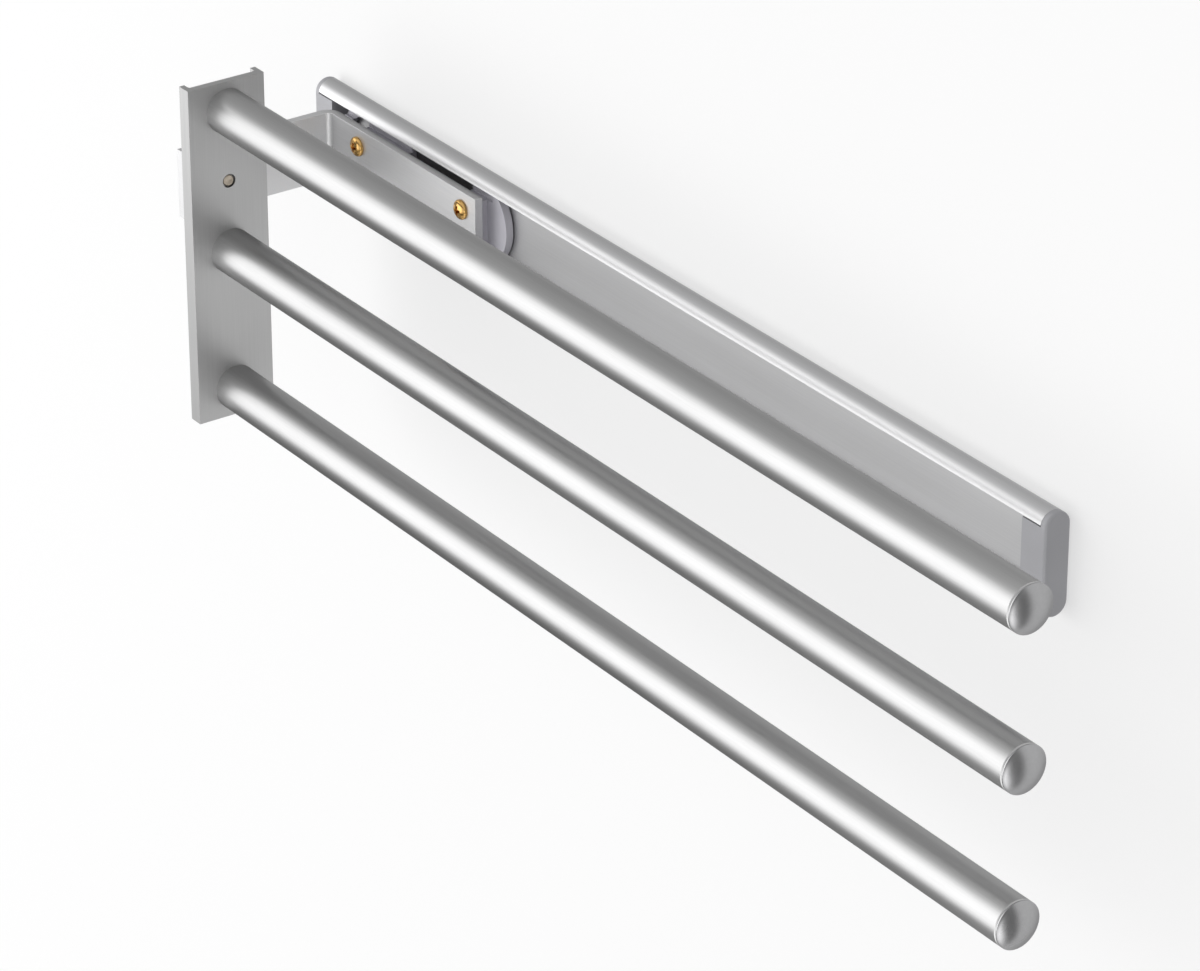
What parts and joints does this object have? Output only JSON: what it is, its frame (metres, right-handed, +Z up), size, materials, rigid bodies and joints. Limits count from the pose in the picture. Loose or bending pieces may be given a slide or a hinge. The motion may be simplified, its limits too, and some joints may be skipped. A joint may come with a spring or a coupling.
{
  "type": "pull-out towel rack",
  "caption": "Wall rail with a captive slider that carries an angle bracket, an upright channel plate and round towel bars, which pull out along the rail.",
  "frame": {"origin": "centre of the rail's flat back, on the wall", "axes": "+X along the rail, the way the bars pull out; +Y into the wall; +Z up"},
  "size_m": [0.4543, 0.0728, 0.125],
  "materials": {
    "rail_satin": "satin anodised extrusion",
    "bracket_satin": "satin anodised flat bar",
    "plate_brushed": "brushed along its height, anodised",
    "bar_satin": "satin anodised tube",
    "bar_cap_satin": "satin turned cap",
    "cap_plastic": "moulded, fine matt",
    "slider_plastic": "moulded, fine matt",
    "brass": "satin, slightly dulled",
    "zinc_steel": "bright zinc plating"
  },
  "bodies": {
    "rail": {"rail_profile": "rail_satin", "rail_cap_front": "cap_plastic", "rail_cap_rear": "cap_plastic"},
    "carriage": {"slider": "slider_plastic", "slider_insert_front": "brass", "slider_insert_rear": "brass", "bracket": "bracket_satin", "bracket_screw_front": "brass", "bracket_screw_rear": "brass", "bar_plate": "plate_brushed", "plate_screw": "brass", "plate_spacer": "zinc_steel", "towel_bar_top": "bar_satin", "towel_bar_middle": "bar_satin", "towel_bar_bottom": "bar_satin", "bar_cap_top": "bar_cap_satin", "bar_cap_middle": "bar_cap_satin", "bar_cap_bottom": "bar_cap_satin", "bar_insert_top": "zinc_steel", "bar_insert_middle": "zinc_steel", "bar_insert_bottom": "zinc_steel", "bar_screw_top": "zinc_steel", "bar_screw_middle": "zinc_steel", "bar_screw_bottom": "zinc_steel"}
  },
  "joints": [
    {"name": "pull_out", "type": "slide", "parent": "rail", "child": "carriage", "axis": [1, 0, 0], "range_m": [0, 0.275]}
  ]
}
